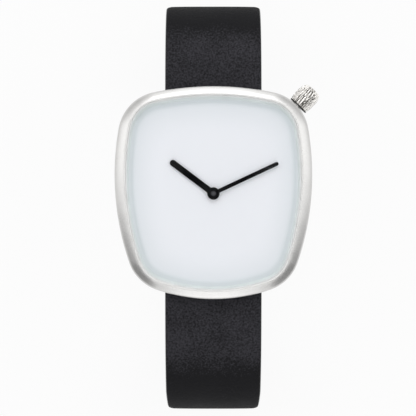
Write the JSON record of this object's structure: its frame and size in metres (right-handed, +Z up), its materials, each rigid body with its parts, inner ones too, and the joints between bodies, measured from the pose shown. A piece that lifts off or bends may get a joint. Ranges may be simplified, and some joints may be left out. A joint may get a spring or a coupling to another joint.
{
  "type": "wristwatch",
  "caption": "Two-hand quartz wristwatch with a pebble-shaped steel case, plain white dial, offset textured crown and a black leather strap with pin buckle.",
  "frame": {"origin": "on the floor under the hand axis, on the flat underside of the long strap half", "axes": "+Z up along the hand axis out of the dial, +Y towards 12 o'clock, +X towards 3 o'clock"},
  "size_m": [0.038, 0.0779, 0.0667],
  "materials": {
    "case_steel": "satin brushed with a polished inner bevel",
    "crystal": "clear, edge rounded",
    "gasket": "matt",
    "dial_white": "smooth white lacquer",
    "hand_black": "satin black",
    "brass": "fine turned",
    "bright_steel": "bright, fine ground",
    "crown_steel": "bark-textured steel",
    "soft_iron": "matt grey",
    "magnet": "dark grey",
    "copper_wire": "enamelled copper wire",
    "board": "green solder mask",
    "chip": "black moulding",
    "can_steel": "bright drawn can",
    "holder": "moulded off-white",
    "strap_leather": "smooth black with a fine grain",
    "strap_lining": "matt black-brown lining",
    "buckle_steel": "satin"
  },
  "bodies": {
    "case": {"case_body": "case_steel", "crystal": "crystal", "crystal_gasket": "gasket", "dial_ring": "dial_white", "dial": "dial_white", "movement_holder": "holder", "main_plate": "brass", "stator": "soft_iron", "coil_core": "soft_iron", "coil_winding": "copper_wire", "circuit_board": "board", "quartz_can": "can_steel", "clock_chip": "chip", "battery": "can_steel", "battery_clamp": "bright_steel", "train_bridge": "bright_steel", "movement_screws": "bright_steel", "yoke": "bright_steel", "crown_tube": "bright_steel", "case_back": "case_steel", "back_gasket": "gasket", "back_screws": "bright_steel", "spring_bar_12": "bright_steel", "spring_bar_6": "bright_steel"},
    "minute_hand": {"minute_hand": "hand_black", "cannon_pinion": "bright_steel", "centre_wheel": "brass"},
    "hour_hand": {"hour_hand": "hand_black", "hour_wheel": "brass"},
    "minute_wheel": {"minute_wheel": "brass"},
    "setting_wheel": {"setting_wheel": "bright_steel"},
    "intermediate_wheel": {"intermediate_wheel": "brass"},
    "rotor": {"rotor": "magnet"},
    "clutch_wheel": {"clutch_wheel": "bright_steel"},
    "crown": {"crown": "crown_steel", "crown_gasket": "gasket", "stem": "bright_steel"},
    "setting_lever": {"setting_lever": "bright_steel"},
    "short_strap": {"short_strap_leather": "strap_leather", "short_strap_lining": "strap_lining", "fixed_keeper": "strap_leather"},
    "long_strap": {"long_strap_leather": "strap_leather", "long_strap_lining": "strap_lining"},
    "free_keeper": {"free_keeper": "strap_leather"},
    "buckle": {"buckle_frame": "buckle_steel", "buckle_bar": "bright_steel"},
    "tongue": {"buckle_tongue": "buckle_steel"}
  },
  "joints": [
    {"name": "minute_hand_turn", "type": "hinge", "parent": "case", "child": "minute_hand", "pos_m": [0, 0, 0.05871], "axis": [0, 0, -1], "continuous": true},
    {"name": "hour_hand_turn", "type": "hinge", "parent": "case", "child": "hour_hand", "pos_m": [0, 0, 0.05871], "axis": [0, 0, -1], "continuous": true},
    {"name": "minute_wheel_turn", "type": "hinge", "parent": "case", "child": "minute_wheel", "pos_m": [0.00167, 0.00173, 0.06301], "axis": [0, 0, -1], "continuous": true},
    {"name": "setting_wheel_turn", "type": "hinge", "parent": "case", "child": "setting_wheel", "pos_m": [0.00354, 0.00367, 0.06301], "axis": [0, 0, -1], "continuous": true},
    {"name": "intermediate_wheel_turn", "type": "hinge", "parent": "case", "child": "intermediate_wheel", "pos_m": [0.0032, -0.0008, 0.06071], "axis": [0, 0, -1], "continuous": true},
    {"name": "rotor_turn", "type": "hinge", "parent": "case", "child": "rotor", "pos_m": [0.00589, -0.00003, 0.06071], "axis": [0, 0, -1], "continuous": true},
    {"name": "crown_turn", "type": "hinge", "parent": "case", "child": "clutch_wheel", "pos_m": [0, 0, 0.06211], "axis": [0.6947, 0.7193, 0], "continuous": true},
    {"name": "crown_pull", "type": "slide", "parent": "clutch_wheel", "child": "crown", "axis": [0.6947, 0.7193, 0], "range_m": [0, 0.0009]},
    {"name": "setting_lever_swing", "type": "hinge", "parent": "case", "child": "setting_lever", "pos_m": [0.00801, 0.00484, 0.06301], "axis": [0, 0, -1], "range_deg": [0, 22]},
    {"name": "short_strap_swing", "type": "hinge", "parent": "case", "child": "short_strap", "pos_m": [0, 0.0162, 0.06091], "axis": [1, 0, 0], "range_deg": [0, 20]},
    {"name": "long_strap_swing", "type": "hinge", "parent": "case", "child": "long_strap", "pos_m": [0, -0.0162, 0.06091], "axis": [-1, 0, 0], "range_deg": [0, 20]},
    {"name": "buckle_swing", "type": "hinge", "parent": "short_strap", "child": "buckle", "pos_m": [0, 0.02116, 0.0018], "axis": [1, 0, 0], "range_deg": [-40, 50]},
    {"name": "tongue_swing", "type": "hinge", "parent": "buckle", "child": "tongue", "pos_m": [0, 0.02116, 0.0018], "axis": [1, 0, 0], "range_deg": [0, 90]},
    {"name": "keeper_slide", "type": "slide", "parent": "short_strap", "child": "free_keeper", "axis": [0, 0.5736, 0.8192], "range_m": [0, 0.005]}
  ],
  "couplings": [
    {"joint": "hour_hand_turn", "follows": "minute_hand_turn", "ratio": 0.083333},
    {"joint": "minute_wheel_turn", "follows": "minute_hand_turn", "ratio": -0.33333},
    {"joint": "setting_wheel_turn", "follows": "minute_hand_turn", "ratio": 0.66667},
    {"joint": "intermediate_wheel_turn", "follows": "minute_hand_turn", "ratio": -10},
    {"joint": "rotor_turn", "follows": "minute_hand_turn", "ratio": 90},
    {"joint": "setting_lever_swing", "follows": "crown_pull", "rad_per_m": 411.88}
  ]
}
